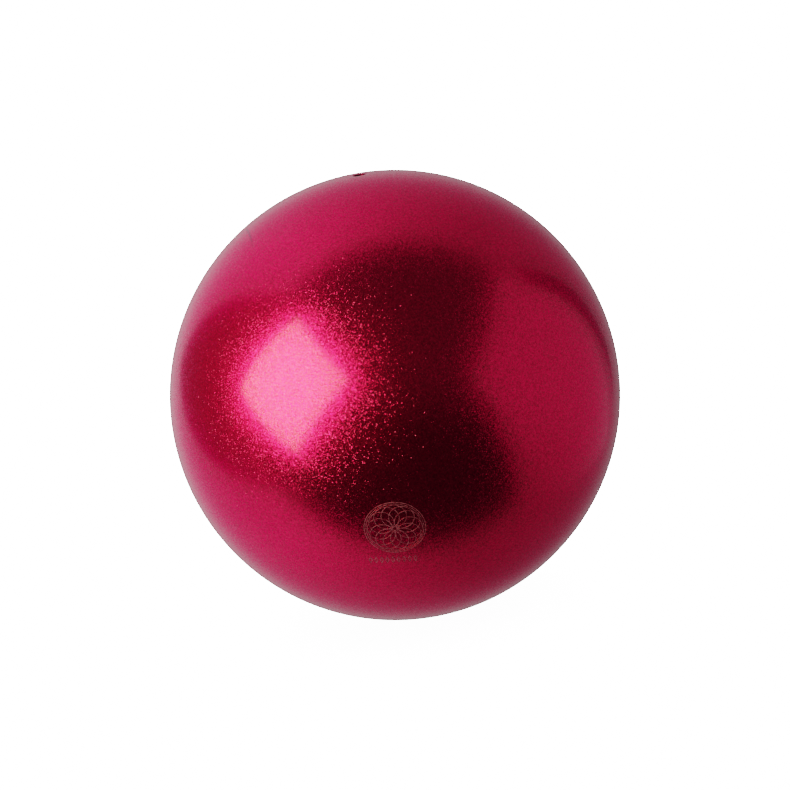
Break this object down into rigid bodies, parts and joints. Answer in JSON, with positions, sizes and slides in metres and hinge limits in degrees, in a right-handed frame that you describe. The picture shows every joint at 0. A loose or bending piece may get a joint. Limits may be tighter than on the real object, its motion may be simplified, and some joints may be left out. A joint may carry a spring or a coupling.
{
  "type": "gymnastics ball",
  "caption": "Inflated gymnastics ball in crimson glitter lacquer, with a sunken air valve closed by a pull-out plug.",
  "frame": {"origin": "centre of the ball", "axes": "+Z out of the valve's mouth along its axis, -Y towards the side that carries the printed emblem"},
  "size_m": [0.18, 0.18, 0.1799],
  "materials": {
    "glitter_lacquer": "clear gloss over dense crimson metal glitter",
    "ball_rubber": "smooth moulded, matt",
    "valve_rubber": "soft, satin",
    "patch_rubber": "vulcanised, matt",
    "plug_rubber": "soft, satin",
    "emblem_ink": "thin silvery pink screen print"
  },
  "bodies": {
    "ball": {"glitter_coat": "glitter_lacquer", "ball_wall": "ball_rubber", "valve_neck": "valve_rubber", "valve_patch": "patch_rubber", "emblem_print": "emblem_ink"},
    "plug": {"valve_plug": "plug_rubber"}
  },
  "joints": [
    {"name": "plug_pull", "type": "slide", "parent": "ball", "child": "plug", "axis": [0, 0, 1], "range_m": [0, 0.024]}
  ]
}
